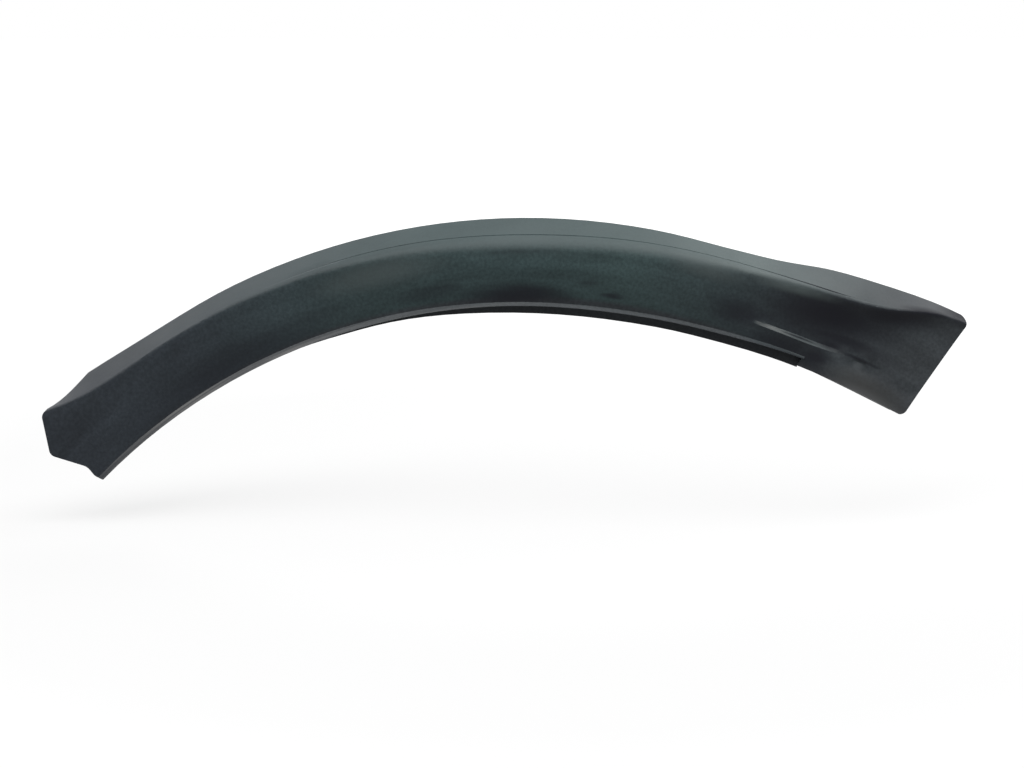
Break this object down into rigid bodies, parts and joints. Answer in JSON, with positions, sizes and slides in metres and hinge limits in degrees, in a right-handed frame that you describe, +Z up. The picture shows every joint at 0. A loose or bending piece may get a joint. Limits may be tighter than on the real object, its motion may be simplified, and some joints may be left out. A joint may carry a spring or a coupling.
{
  "type": "wheel arch trim",
  "caption": "Black moulded wheel arch trim: an arched, lipped skin with a flared end, a fading styling ridge and clip towers behind.",
  "frame": {"origin": "middle of the flat seat that rests on the body, at the crown of the arch", "axes": "+X along the car towards the flared end, +Y towards the body, +Z up"},
  "size_m": [0.5859, 0.0259, 0.1645],
  "materials": {
    "moulded_black": "satin"
  },
  "bodies": {
    "root": {"arch_trim": "moulded_black"}
  },
  "joints": []
}
